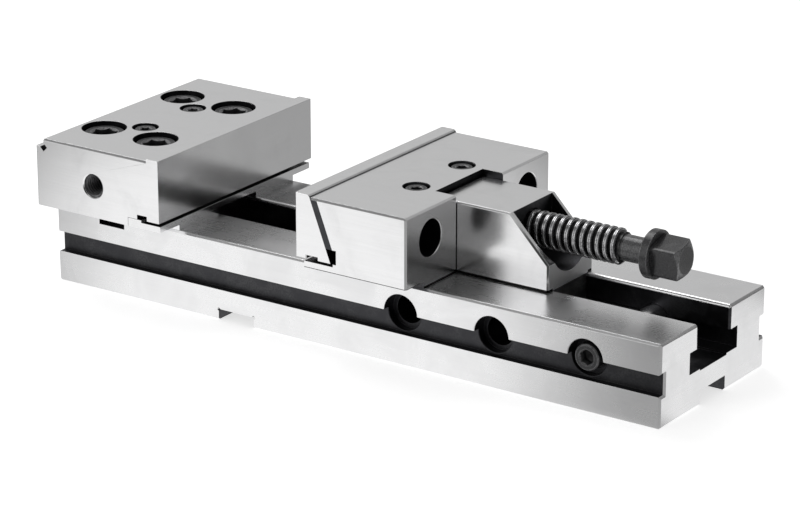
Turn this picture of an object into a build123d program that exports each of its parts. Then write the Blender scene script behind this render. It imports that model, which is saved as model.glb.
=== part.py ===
from build123d import *
from collections import namedtuple
from math import cos, radians, sqrt, tan
import os

# A modular machine vise, in millimetres.
# X runs along the bed towards the spindle, Z is up, and the origin is the middle of the bed's underside.

# Bed
bed_length = 419.0
bed_width = 114.0
bed_height = 49.0
bed_top_chamfer = 1.2
bed_bottom_chamfer = 1.0
bed_end_chamfer = 1.2
channel_width = 35.0
lip_thickness = 14.5
lip_round = 2.0
undercut_width = 52.0
undercut_height = 12.7
floor_relief_width = 29.0
floor_relief_depth = 1.0
side_groove_height = 12.5
side_groove_depth = 4.6
side_groove_bottom = 18.7
long_keyway_width = 27.0
long_keyway_depth = 8.7
cross_keyway_width = 25.4
cross_keyway_depth = 6.5
cross_keyway_from_fixed_end = 133.4
keyway_corner_radius = 0.9

# Cross holes and the pin that stands in the last of them
cross_hole_count = 3
cross_hole_pitch = 61.0
cross_hole_from_end = 47.7
cross_hole_height = 30.9
cross_hole_mouth_diameter = 22.5
cross_hole_mouth_depth = 10.0
pin_diameter = 17.0
pin_clearance = 0.1
pin_end_diameter = 15.5
pin_end_length = 8.6
pin_end_chamfer = 0.8
pin_socket = 8.0
pin_socket_depth = 6.0

# Heights that both jaws share, each one standing on the one before
overhang_height = 3.9
rail_thickness = 3.7
rail_gap = 1.6
face_height = 38.1
lip_rise = 1.5

# Widths of the jaws
fixed_jaw_width = 150.0
moving_jaw_width = 147.5
sole_width = 112.0
sole_gap_width = 37.0
jaw_edge_chamfer = 1.1
rail_near_end = -75.0
rail_far_end = 71.6

# Fixed jaw
fixed_jaw_inset = 0.3
fixed_jaw_length = 91.8
fixed_lip_length = 8.6
fixed_lip_fillet = 1.0
rear_step_length = 5.4
rear_step_depth = 5.2
rear_relief_half_diagonal = 2.6
rear_relief_offset = 0.8
rear_relief_turn = 45.0
rail_slot_depth = 23.0
rail_slot_play = 0.1
rail_proud = 0.9
rail_hook_length = 9.8
hook_groove_width = 7.1
hook_groove_height = 2.8
hook_groove_from_face = 9.0
work_stop_from_rear = 43.1
work_stop_height = 23.2
work_stop_diameter = 14.0
work_stop_mouth_diameter = 15.4
work_stop_depth = 24.0

# Key and screws that hold the fixed jaw
key_from_jaw_rear = 41.6
key_width = 18.6
key_play = 0.05
key_length = 92.0
key_slot_depth = 7.2
key_rise = 6.0
anchor_spacing_x = 38.9
anchor_spacing_y = 75.5
anchor_head_recess = 2.4
anchor_thread_depth = 18.0
key_screw_spacing = 46.0
key_screw_head_recess = 0.9
key_screw_thread_depth = 10.0

# Moving jaw
jaw_opening = 97.2
plate_top_length = 9.5
plate_nose_radius = 2.0
plate_edge_chamfer = 0.6
wedge_angle = 21.0
plate_groove_from_face = 7.4
plate_groove_width = 7.4
plate_groove_height = 2.1
slide_plate_thickness = 4.1
slide_plate_cover = 1.2
slide_plate_cover_gap = 0.3
slide_plate_foot = 8.4
chip_pocket_depth = 3.8
ledge_clearance = 1.6
moving_foot_setback = 5.9
moving_sole_setback = 1.0
moving_jaw_length = 75.5
notch_depth = 14.0
notch_width = 48.4

# Screws and disc springs that draw the wedge plate against the jaw
draw_screw_from_side = 24.2
draw_screw_height = 28.0
draw_well_diameter = 21.8
draw_well_depth = 34.0
draw_hole_diameter = 12.6
draw_thread_depth = 10.0
spring_outer_diameter = 20.6
spring_inner_diameter = 12.8
spring_strip = 0.9
spring_cone_height = 0.5
spring_rim_overlap = 0.12
spring_discs = 6

# Guide block under the moving jaw
guide_running_gap = 0.2
guide_lift_gap = 0.3
guide_floor_gap = 1.0
guide_front_inset = 13.4
guide_rear_inset = 11.0
guide_cap_front_inset = 32.4
guide_cap_length = 21.0
guide_cap_width = 60.0
guide_cap_rise = 8.0
guide_cap_play = 0.1
guide_screw_spacing = 46.4
guide_screw_from_rear = 27.6
guide_screw_head_recess = 0.9
guide_screw_thread_depth = 7.0

# Spindle block and its foot
block_length = 73.5
block_width = 47.0
block_top_height = 42.0
block_rear_height = 15.8
block_slope_length = 25.5
block_chamfer = 1.0
block_front_gap = 1.7
block_pocket_radius = 20.2
block_rear_bore_diameter = 21.8
nut_outer_diameter = 26.0
nut_length = 42.0
nut_bore_clearance = 0.05
foot_front_inset = 8.5
foot_seat_gap = 0.3
foot_tail_from_pin = 6.4
foot_screw_from_front = 17.5
foot_screw_spacing = 22.0
foot_screw_thread_depth = 9.5
foot_screw_head_recess = 0.6

# Spindle
spindle_height = 27.4
thread_diameter = 20.8
thread_end_chamfer = 1.6
spindle_visible_thread = 61.4
spindle_neck_diameter = 15.2
spindle_neck_length = 15.8
collar_diameter = 28.2
collar_thickness = 5.2
collar_chamfer = 0.5
square_width = 18.0
square_length = 17.3
square_end_diameter = 16.0
square_turn = 12.9
square_end_angle = 25.0
tip_diameter = 16.0
tip_length = 14.0
tip_bore_clearance = 0.05
tip_end_gap = 0.3
tip_chamfer = 1.5
tip_neck_diameter = 12.0
tip_neck_play = 0.4

# Fork that holds the spindle's tip in the moving jaw
fork_thickness = 6.0
fork_play = 0.1
fork_width = 44.0
fork_top_height = 12.8
fork_bottom_height = 20.0
fork_slot_gap = 0.3
fork_screw_spacing = 30.0
fork_screw_drop = 12.0
fork_screw_thread_depth = 8.0

# Socket cap screws that hold the fixed jaw down
anchor_shank_diameter = 16.0
anchor_head_diameter = 24.0
anchor_head_height = 16.0
anchor_socket_width = 14.0
anchor_socket_depth = 8.8

# Socket cap screws in the tops of both jaws, for the key and the guide
top_shank_diameter = 8.0
top_head_diameter = 13.0
top_head_height = 8.0
top_socket_width = 6.0
top_socket_depth = 4.4

# Socket cap screws of the wedge plate and of the foot
draw_shank_diameter = 10.0
draw_head_diameter = 16.0
draw_head_height = 10.0
draw_socket_width = 8.0
draw_socket_depth = 5.5

# Low-headed screws of the fork
fork_shank_diameter = 5.0
fork_head_diameter = 8.5
fork_head_height = 3.0
fork_socket_width = 3.0
fork_socket_depth = 1.7

# What all the screws share
head_clearance = 1.2
shank_clearance = 0.5
head_chamfer = 0.8
hole_mouth_chamfer = 0.4

# The screws by kind
Screw = namedtuple("Screw", "shank head height socket depth")
anchor_screw = Screw(
    anchor_shank_diameter, anchor_head_diameter, anchor_head_height, anchor_socket_width, anchor_socket_depth
)
top_screw = Screw(top_shank_diameter, top_head_diameter, top_head_height, top_socket_width, top_socket_depth)
draw_screw = Screw(
    draw_shank_diameter, draw_head_diameter, draw_head_height, draw_socket_width, draw_socket_depth
)
foot_screw = draw_screw
fork_screw = Screw(
    fork_shank_diameter, fork_head_diameter, fork_head_height, fork_socket_width, fork_socket_depth
)

# Heights and stations worked out from the sizes above
z_lip_under = bed_height - lip_thickness
z_channel_floor = z_lip_under - undercut_height
z_under = bed_height + overhang_height
z_rail = z_under + rail_thickness
z_face = z_rail + rail_gap
z_lip = z_face + face_height
z_body = z_lip - lip_rise
z_spindle = bed_height + spindle_height
x_end = bed_length / 2
x_fixed_rear = fixed_jaw_inset - x_end
x_fixed_face = x_fixed_rear + fixed_jaw_length
x_key = x_fixed_rear + key_from_jaw_rear
x_plate_face = x_fixed_face + jaw_opening
x_jaw_rear = x_plate_face + moving_jaw_length
x_notch = x_jaw_rear - notch_depth
x_block_front = x_notch + block_front_gap
x_foot_front = x_block_front + foot_front_inset
x_block_rear = x_block_front + block_length
x_pocket = x_block_rear - block_slope_length
draw_screw_spacing = moving_jaw_width - 2 * draw_screw_from_side
x_pin = x_end - cross_hole_from_end
z_pin = cross_hole_height
wedge_slope = tan(radians(wedge_angle))
slide_plate_run = slide_plate_thickness / cos(radians(wedge_angle))


def plate_back(z):
    """X of the wedge plate's slanted back at a height."""
    return x_plate_face + plate_top_length + (z_lip - z) * wedge_slope


def jaw_front(z):
    """X of the moving jaw's slanted front at a height, behind the slide plate."""
    return plate_back(z) + slide_plate_run


def cap_screw(size, seat, shank_length):
    """A socket cap screw whose head rests on the seat plane and whose shank runs against its normal."""
    with BuildPart() as screw:
        with BuildSketch(seat):
            Circle(size.head / 2)
        extrude(amount=size.height)
        chamfer(screw.edges().sort_by(Axis(seat.origin, seat.z_dir))[-1], head_chamfer)
        with BuildSketch(seat):
            Circle(size.shank / 2)
        extrude(amount=-shank_length)
        with BuildSketch(seat.offset(size.height)):
            RegularPolygon(size.socket / 2, 6, major_radius=False)
        extrude(amount=-size.depth, mode=Mode.SUBTRACT)
    return screw


def screw_bore(size, head_depth, hole_depth):
    """A counterbore and clearance hole for a cap screw, cut at the current locations."""
    CounterBoreHole(size.shank / 2 + shank_clearance, size.head / 2 + head_clearance, head_depth, hole_depth)


def mouths(part, axis, at, radius):
    """The round edges of one radius that lie in the plane at one position along an axis."""
    rims = part.edges().filter_by(GeomType.CIRCLE)
    rims = rims.filter_by_position(axis, at - hole_mouth_chamfer, at + hole_mouth_chamfer)
    return rims.filter_by(lambda e: abs(e.radius - radius) < hole_mouth_chamfer / 2)


def facing(x, y, z, direction):
    """A plane at a point, with its normal along one of the main directions."""
    return Plane(origin=(x, y, z), x_dir=(0, 1, 0) if direction[0] else (1, 0, 0), z_dir=direction)


# Bed: a T-channelled bar with side clamping grooves, keyways underneath and cross holes near its screw end
with BuildPart() as bed:
    with BuildSketch(Plane.YZ) as bed_section:
        with Locations((0, bed_height / 2)):
            Rectangle(bed_width, bed_height)
        with Locations((0, z_lip_under + lip_thickness / 2)):
            Rectangle(channel_width, lip_thickness, mode=Mode.SUBTRACT)
        with Locations((0, z_channel_floor + undercut_height / 2)):
            Rectangle(undercut_width, undercut_height, mode=Mode.SUBTRACT)
        with Locations((0, z_channel_floor)):
            Rectangle(floor_relief_width, 2 * floor_relief_depth, mode=Mode.SUBTRACT)
        with Locations((0, long_keyway_depth / 2)):
            Rectangle(long_keyway_width, long_keyway_depth, mode=Mode.SUBTRACT)
        with GridLocations(bed_width, 0, 2, 1):
            with Locations((0, side_groove_bottom + side_groove_height / 2)):
                Rectangle(2 * side_groove_depth, side_groove_height, mode=Mode.SUBTRACT)
    extrude(amount=bed_length / 2, both=True)
    top_edges = bed.edges().filter_by(Axis.X).group_by(Axis.Z)[-1].sort_by(lambda e: abs(e.center().Y))
    fillet(top_edges[:2], lip_round)
    top_edges = bed.edges().filter_by(Axis.X).group_by(Axis.Z)[-1]
    chamfer(top_edges.group_by(lambda e: abs(e.center().Y))[-1], bed_top_chamfer)
    bottom_edges = bed.edges().filter_by(Axis.X).group_by(Axis.Z)[0]
    chamfer(bottom_edges.group_by(lambda e: abs(e.center().Y))[-1], bed_bottom_chamfer)
    end_faces = bed.faces().filter_by(Axis.X)
    chamfer(end_faces.edges().filter_by(lambda e: abs(e.center().Y) > undercut_width / 2), bed_end_chamfer)
    with BuildSketch(Plane.XZ):
        with Locations((cross_keyway_from_fixed_end - x_end, cross_keyway_depth / 2)):
            Rectangle(cross_keyway_width, cross_keyway_depth, mode=Mode.ADD)
        with Locations((cross_keyway_from_fixed_end - x_end, cross_keyway_depth)):
            with GridLocations(cross_keyway_width, 0, 2, 1):
                Circle(keyway_corner_radius)
    extrude(amount=bed_width / 2, both=True, mode=Mode.SUBTRACT)
    with BuildSketch(Plane.XZ):
        with Locations((x_key, bed_height)):
            Rectangle(key_width + 2 * key_play, 2 * key_slot_depth)
    extrude(amount=bed_width / 2, both=True, mode=Mode.SUBTRACT)
    with Locations((x_key, 0, bed_height)):
        with GridLocations(anchor_spacing_x, anchor_spacing_y, 2, 2):
            Hole(anchor_screw.shank / 2, anchor_thread_depth)
    for hole in range(cross_hole_count):
        x_hole = x_pin - hole * cross_hole_pitch
        with BuildSketch(Plane.XZ):
            with Locations((x_hole, z_pin)):
                Circle(pin_diameter / 2 + pin_clearance)
        extrude(amount=bed_width / 2, both=True, mode=Mode.SUBTRACT)
        for side in (-1, 1):
            with Locations(facing(x_hole, side * bed_width / 2, z_pin, (0, side, 0))):
                Hole(cross_hole_mouth_diameter / 2, cross_hole_mouth_depth)
    for side in (-1, 1):
        chamfer(mouths(bed, Axis.Y, side * bed_width / 2, cross_hole_mouth_diameter / 2), hole_mouth_chamfer)
        y_groove = side * (bed_width / 2 - side_groove_depth)
        chamfer(mouths(bed, Axis.Y, y_groove, cross_hole_mouth_diameter / 2), hole_mouth_chamfer)

# Pin across the channel, which the block's foot bears against
y_pin_shoulder = bed_width / 2 - cross_hole_mouth_depth
with BuildPart() as stop_pin:
    with BuildSketch(Plane.XZ):
        with Locations((x_pin, z_pin)):
            Circle(pin_diameter / 2)
    extrude(amount=y_pin_shoulder, both=True)
    with BuildSketch(Plane.XZ):
        with Locations((x_pin, z_pin)):
            Circle(pin_end_diameter / 2)
    extrude(amount=y_pin_shoulder + pin_end_length, both=True)
    chamfer(stop_pin.faces().sort_by(Axis.Y)[0].edges(), pin_end_chamfer)
    chamfer(stop_pin.faces().sort_by(Axis.Y)[-1].edges(), pin_end_chamfer)
    for side in (-1, 1):
        with BuildSketch(facing(x_pin, side * (y_pin_shoulder + pin_end_length), z_pin, (0, side, 0))):
            RegularPolygon(pin_socket / 2, 6, major_radius=False)
        extrude(amount=-pin_socket_depth, mode=Mode.SUBTRACT)

# Fixed jaw: one block with a raised lip, a stepped rear and a slot over its sole for the support rail
x_rail_slot = x_fixed_face - rail_slot_depth
with BuildPart() as fixed_jaw:
    with BuildSketch(Plane.XZ):
        with BuildLine():
            Polyline(
                (x_fixed_face, z_face),
                (x_fixed_face, z_lip),
                (x_fixed_face - fixed_lip_length, z_lip),
                (x_fixed_face - fixed_lip_length, z_body),
                (x_fixed_rear + rear_step_length, z_body),
                (x_fixed_rear + rear_step_length, z_body - rear_step_depth),
                (x_fixed_rear, z_body - rear_step_depth),
                (x_fixed_rear, z_under),
                (x_rail_slot, z_under),
                (x_rail_slot, z_face),
                close=True,
            )
        make_face()
    extrude(amount=fixed_jaw_width / 2, both=True)
    top_edges = fixed_jaw.edges().filter_by_position(Axis.Z, z_body, z_body)
    rear_edges = fixed_jaw.edges().filter_by(Axis.Z).filter_by(lambda e: e.center().X < x_key)
    chamfer(top_edges.sort_by(Axis.X)[:-1] + rear_edges, jaw_edge_chamfer)
    lip_root = (x_fixed_face - fixed_lip_length, 0, z_body)
    fillet(fixed_jaw.edges().filter_by(Axis.Y).sort_by_distance(lip_root)[0], fixed_lip_fillet)
    for side in (-1, 1):
        with BuildSketch(Plane.XY.offset(bed_height)):
            with Locations(((x_fixed_rear + x_fixed_face) / 2, side * (sole_width + sole_gap_width) / 4)):
                Rectangle(fixed_jaw_length, (sole_width - sole_gap_width) / 2)
        extrude(amount=overhang_height)
    with BuildSketch(Plane.XZ):
        with Locations((x_fixed_rear + rear_step_length + rear_relief_offset, z_body - rear_step_depth)):
            Rectangle(
                rear_relief_half_diagonal * sqrt(2),
                rear_relief_half_diagonal * sqrt(2),
                rotation=rear_relief_turn,
            )
        with Locations((x_fixed_face - hook_groove_from_face - hook_groove_width / 2, z_face)):
            Rectangle(hook_groove_width, 2 * hook_groove_height)
    extrude(amount=fixed_jaw_width / 2, both=True, mode=Mode.SUBTRACT)
    with BuildSketch(Plane.XZ):
        with Locations((x_key, z_under)):
            Rectangle(key_width + 2 * key_play, 2 * (key_rise - overhang_height))
    extrude(amount=key_length / 2 + key_play, both=True, mode=Mode.SUBTRACT)
    with BuildSketch(Plane.XZ):
        with Locations((x_key, bed_height)):
            Rectangle(key_width + 2 * key_play, 2 * overhang_height)
    extrude(amount=key_length / 2 + key_play, both=True, mode=Mode.SUBTRACT)
    with Locations((x_key, 0, z_body)):
        with GridLocations(anchor_spacing_x, anchor_spacing_y, 2, 2):
            screw_bore(anchor_screw, anchor_head_recess + anchor_screw.height, z_body - bed_height)
        with GridLocations(0, key_screw_spacing, 1, 2):
            screw_bore(top_screw, key_screw_head_recess + top_screw.height, z_body - bed_height)
    for size in (anchor_screw, top_screw):
        chamfer(mouths(fixed_jaw, Axis.Z, z_body, size.head / 2 + head_clearance), hole_mouth_chamfer)
    x_work_stop = x_fixed_rear + work_stop_from_rear
    with Locations(facing(x_work_stop, -fixed_jaw_width / 2, bed_height + work_stop_height, (0, -1, 0))):
        Hole(work_stop_diameter / 2, work_stop_depth)
    work_stop_rim = (
        fixed_jaw.edges()
        .filter_by(GeomType.CIRCLE)
        .filter_by(lambda e: abs(e.center().Y + fixed_jaw_width / 2) < rail_gap)
    )
    chamfer(work_stop_rim, (work_stop_mouth_diameter - work_stop_diameter) / 2)

# Support rail hooked into the slot under the fixed jaw's face
with BuildPart() as fixed_jaw_rail:
    x_rail_rear = x_rail_slot + rail_slot_play
    x_hook = x_rail_rear + rail_hook_length
    x_rail_front = x_fixed_face + rail_proud
    with BuildSketch(Plane.XZ.offset(-rail_far_end)):
        with BuildLine():
            Polyline(
                (x_rail_rear, z_under),
                (x_rail_front, z_under),
                (x_rail_front, z_rail),
                (x_hook, z_rail),
                (x_hook, z_face - rail_slot_play),
                (x_rail_rear, z_face - rail_slot_play),
                close=True,
            )
        make_face()
    extrude(amount=rail_far_end - rail_near_end)
    with Locations((x_key, 0, z_under)):
        with GridLocations(anchor_spacing_x, anchor_spacing_y, 2, 2):
            Hole(anchor_screw.shank / 2 + shank_clearance)

# Seats of the heads of the screws that come in from the top of the jaws
anchor_seat = z_body - anchor_head_recess - anchor_screw.height
key_seat = z_body - key_screw_head_recess - top_screw.height
guide_seat = z_body - guide_screw_head_recess - top_screw.height

# Key that locates the fixed jaw on the bed
with BuildPart() as fixed_jaw_key:
    key_top = bed_height + key_rise - key_play
    key_bottom = bed_height - key_slot_depth
    with BuildSketch(Plane.XY.offset(key_bottom)):
        with Locations((x_key, 0)):
            Rectangle(key_width, key_length)
    extrude(amount=key_top - key_bottom)
    with Locations((x_key, 0, key_top)):
        with GridLocations(0, key_screw_spacing, 1, 2):
            Hole(top_screw.shank / 2, key_screw_thread_depth)

# Wedge plate that faces the work and slides down the moving jaw's slanted front
z_draw = bed_height + draw_screw_height
with BuildPart() as jaw_plate:
    with BuildSketch(Plane.XZ):
        with BuildLine():
            Polyline(
                (x_plate_face, z_face),
                (plate_back(z_face), z_face),
                (plate_back(z_lip), z_lip),
                (x_plate_face, z_lip),
                close=True,
            )
        make_face()
        with Locations((x_plate_face + plate_groove_from_face + plate_groove_width / 2, z_face)):
            Rectangle(plate_groove_width, 2 * plate_groove_height, mode=Mode.SUBTRACT)
    extrude(amount=moving_jaw_width / 2, both=True)
    nose = (plate_back(z_lip), 0, z_lip)
    fillet(jaw_plate.edges().filter_by(Axis.Y).sort_by_distance(nose)[0], plate_nose_radius)
    chamfer(jaw_plate.edges().filter_by(Axis.Z), plate_edge_chamfer)
    with Locations(facing(plate_back(z_draw), 0, z_draw, (1, 0, 0))):
        with GridLocations(draw_screw_spacing, 0, 2, 1):
            Hole(draw_screw.shank / 2, draw_thread_depth)

# Hardened slide plate between the wedge plate and the moving jaw
z_slide_foot = z_face + slide_plate_foot
z_slide_top = z_body - slide_plate_cover
with BuildPart() as jaw_slide_plate:
    with BuildSketch(Plane.XZ):
        with BuildLine():
            Polyline(
                (plate_back(z_slide_foot), z_slide_foot),
                (jaw_front(z_slide_foot), z_slide_foot),
                (jaw_front(z_slide_top), z_slide_top),
                (plate_back(z_slide_top), z_slide_top),
                close=True,
            )
        make_face()
    extrude(amount=moving_jaw_width / 2, both=True)
    with Locations(facing(plate_back(z_draw), 0, z_draw, (1, 0, 0))):
        with GridLocations(draw_screw_spacing, 0, 2, 1):
            Hole(draw_hole_diameter / 2)

# Moving jaw: slanted front, rear notch for the spindle block, wells for the draw screws
x_chip_pocket = plate_back(z_face) + chip_pocket_depth
x_ledge = plate_back(z_face) + ledge_clearance
x_moving_foot = x_plate_face + moving_foot_setback
x_tip_end = x_notch - fork_thickness - 2 * fork_play - tip_length
x_guide_front = x_plate_face + guide_front_inset
x_guide_rear = x_notch - guide_rear_inset
x_guide_cap = x_plate_face + guide_cap_front_inset + guide_cap_length / 2
x_guide_screw = x_jaw_rear - guide_screw_from_rear
z_guide_cap = z_under + guide_cap_rise
with BuildPart() as moving_jaw:
    with BuildSketch(Plane.XZ):
        with BuildLine():
            Polyline(
                (plate_back(z_body) + slide_plate_cover_gap, z_body),
                (plate_back(z_slide_top) + slide_plate_cover_gap, z_slide_top),
                (jaw_front(z_slide_top), z_slide_top),
                (jaw_front(z_slide_foot), z_slide_foot),
                (x_chip_pocket, z_slide_foot),
                (x_chip_pocket, z_face),
                (x_ledge, z_face),
                (x_ledge, z_rail),
                (x_moving_foot, z_rail),
                (x_moving_foot, z_under),
                (x_jaw_rear, z_under),
                (x_jaw_rear, z_body),
                close=True,
            )
        make_face()
    extrude(amount=moving_jaw_width / 2, both=True)
    top_edges = moving_jaw.edges().filter_by_position(Axis.Z, z_body, z_body)
    rear_edges = moving_jaw.edges().filter_by(Axis.Z).group_by(Axis.X)[-1]
    chamfer(top_edges.sort_by(Axis.X)[1:] + rear_edges, jaw_edge_chamfer)
    for side in (-1, 1):
        with BuildSketch(Plane.XY.offset(bed_height)):
            x_sole = x_moving_foot + moving_sole_setback
            with Locations(((x_sole + x_jaw_rear) / 2, side * (sole_width + sole_gap_width) / 4)):
                Rectangle(x_jaw_rear - x_sole, (sole_width - sole_gap_width) / 2)
        extrude(amount=overhang_height)
    with BuildSketch(Plane.XY.offset(bed_height)):
        with Locations((x_jaw_rear, 0)):
            Rectangle(2 * notch_depth, notch_width)
    extrude(amount=z_lip - bed_height, mode=Mode.SUBTRACT)
    with BuildSketch(facing(x_notch, 0, z_spindle, (-1, 0, 0))):
        Circle(tip_diameter / 2 + tip_bore_clearance)
    extrude(amount=x_notch - x_tip_end + tip_end_gap, mode=Mode.SUBTRACT)
    with BuildSketch(Plane.YZ.offset(x_notch)):
        with Locations((0, (bed_height + z_spindle + fork_top_height) / 2)):
            Rectangle(fork_width + 2 * fork_play, z_spindle + fork_top_height - bed_height + 2 * fork_play)
    extrude(amount=-fork_thickness - fork_play, mode=Mode.SUBTRACT)
    with BuildSketch(Plane.XY.offset(bed_height)):
        with Locations((x_guide_cap, 0)):
            Rectangle(guide_cap_length + 2 * guide_cap_play, guide_cap_width + 2 * guide_cap_play)
    extrude(amount=z_guide_cap - bed_height + guide_cap_play, mode=Mode.SUBTRACT)
    with Locations((x_guide_screw, 0, z_body)):
        with GridLocations(0, guide_screw_spacing, 1, 2):
            screw_bore(top_screw, guide_screw_head_recess + top_screw.height, z_body - z_guide_cap)
    chamfer(mouths(moving_jaw, Axis.Z, z_body, top_screw.head / 2 + head_clearance), hole_mouth_chamfer)
    with Locations(facing(x_jaw_rear, 0, z_draw, (1, 0, 0))):
        with GridLocations(draw_screw_spacing, 0, 2, 1):
            CounterBoreHole(draw_hole_diameter / 2, draw_well_diameter / 2, draw_well_depth)
    chamfer(mouths(moving_jaw, Axis.X, x_jaw_rear, draw_well_diameter / 2), hole_mouth_chamfer)
    with Locations(facing(x_notch - fork_thickness, 0, z_spindle - fork_screw_drop, (1, 0, 0))):
        with GridLocations(fork_screw_spacing, 0, 2, 1):
            Hole(fork_screw.shank / 2, fork_screw_thread_depth)

# Guide block that keeps the moving jaw down and straight in the channel
guide_neck_width = channel_width - 2 * guide_running_gap
guide_flange_width = undercut_width - 2 * guide_running_gap
z_flange_top = z_lip_under - guide_lift_gap
z_flange_bottom = z_channel_floor + guide_floor_gap
with BuildPart() as jaw_guide:
    with BuildSketch(Plane.YZ.offset(x_guide_front)):
        with Locations((0, (z_flange_bottom + z_flange_top) / 2)):
            Rectangle(guide_flange_width, z_flange_top - z_flange_bottom)
        with Locations((0, (z_flange_top + z_under) / 2)):
            Rectangle(guide_neck_width, z_under - z_flange_top)
    extrude(amount=x_guide_rear - x_guide_front)
    with BuildSketch(Plane.XY.offset(z_under)):
        with Locations((x_guide_cap, 0)):
            Rectangle(guide_cap_length, guide_cap_width)
    extrude(amount=z_guide_cap - z_under)
    with Locations((x_guide_screw, 0, z_guide_cap)):
        with GridLocations(0, guide_screw_spacing, 1, 2):
            Hole(top_screw.shank / 2, guide_screw_thread_depth)

# Fork that lets the spindle turn in the moving jaw and pulls the jaw back with it
with BuildPart() as spindle_fork:
    with BuildSketch(Plane.YZ.offset(x_notch - fork_thickness)):
        with Locations((0, z_spindle + (fork_top_height - fork_bottom_height) / 2)):
            Rectangle(fork_width, fork_top_height + fork_bottom_height)
        with Locations((0, z_spindle)):
            Circle(tip_neck_diameter / 2 + fork_slot_gap, mode=Mode.SUBTRACT)
        with Locations((0, z_spindle + fork_top_height / 2)):
            Rectangle(tip_neck_diameter + 2 * fork_slot_gap, fork_top_height, mode=Mode.SUBTRACT)
    extrude(amount=fork_thickness)
    with Locations(facing(x_notch, 0, z_spindle - fork_screw_drop, (1, 0, 0))):
        with GridLocations(fork_screw_spacing, 0, 2, 1):
            screw_bore(fork_screw, fork_screw.height, fork_thickness)

# Spindle block: sloped rear with a round-bottomed pocket around the spindle
with BuildPart() as spindle_block:
    with BuildSketch(Plane.XZ):
        with BuildLine():
            Polyline(
                (x_block_front, bed_height),
                (x_block_rear, bed_height),
                (x_block_rear, bed_height + block_rear_height),
                (x_pocket, bed_height + block_top_height),
                (x_block_front, bed_height + block_top_height),
                close=True,
            )
        make_face()
    extrude(amount=block_width / 2, both=True)
    side_edges = spindle_block.faces().filter_by(Axis.Y).edges()
    chamfer(side_edges.filter_by(lambda e: e.center().Z > z_under), block_chamfer)
    with BuildSketch(Plane.YZ.offset(x_pocket)):
        with Locations((0, z_spindle)):
            Circle(block_pocket_radius)
        with Locations((0, z_spindle + block_top_height / 2)):
            Rectangle(2 * block_pocket_radius, block_top_height)
    extrude(amount=block_slope_length, mode=Mode.SUBTRACT)
    with BuildSketch(facing(x_pocket, 0, z_spindle, (-1, 0, 0))):
        Circle(block_rear_bore_diameter / 2)
    extrude(amount=block_length, mode=Mode.SUBTRACT)
    with BuildSketch(facing(x_block_front, 0, z_spindle, (1, 0, 0))):
        Circle(nut_outer_diameter / 2)
    extrude(amount=nut_length, mode=Mode.SUBTRACT)
    with BuildSketch(Plane.XY.offset(bed_height)):
        for step in range(2):
            with Locations((x_block_front + foot_screw_from_front + step * foot_screw_spacing, 0)):
                Circle(foot_screw.shank / 2)
    extrude(amount=foot_screw_thread_depth, mode=Mode.SUBTRACT)

# Nut pressed into the block from the front
with BuildPart() as spindle_nut:
    with BuildSketch(facing(x_block_front, 0, z_spindle, (1, 0, 0))):
        Circle(nut_outer_diameter / 2)
        Circle(thread_diameter / 2 + nut_bore_clearance, mode=Mode.SUBTRACT)
    extrude(amount=nut_length)

# Foot of the block: a T-slide with a tongue that bears on the cross pin
foot_seat = z_flange_bottom + foot_screw_head_recess + foot_screw.height
with BuildPart() as block_foot:
    with BuildSketch(Plane.YZ.offset(x_foot_front)):
        with Locations((0, (z_flange_bottom + z_flange_top) / 2)):
            Rectangle(guide_flange_width, z_flange_top - z_flange_bottom)
    extrude(amount=x_pin - x_foot_front)
    with BuildSketch(Plane.YZ.offset(x_foot_front)):
        with Locations((0, (z_flange_top + bed_height) / 2)):
            Rectangle(guide_neck_width, bed_height - z_flange_top)
    extrude(amount=x_block_rear - x_foot_front)
    with BuildSketch(Plane.XZ):
        with Locations((x_pin, z_pin)):
            Circle(pin_diameter / 2 + foot_seat_gap)
    extrude(amount=bed_width / 2, both=True, mode=Mode.SUBTRACT)
    with BuildSketch(Plane.XZ):
        with Locations((x_pin - foot_tail_from_pin + pin_diameter / 2, z_pin)):
            Rectangle(pin_diameter, 2 * pin_diameter)
    extrude(amount=bed_width / 2, both=True, mode=Mode.SUBTRACT)
    for step in range(2):
        x_screw = x_block_front + foot_screw_from_front + step * foot_screw_spacing
        with Locations(facing(x_screw, 0, z_flange_bottom, (0, 0, -1))):
            screw_bore(foot_screw, foot_seat - z_flange_bottom, bed_height - z_flange_bottom)

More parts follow.
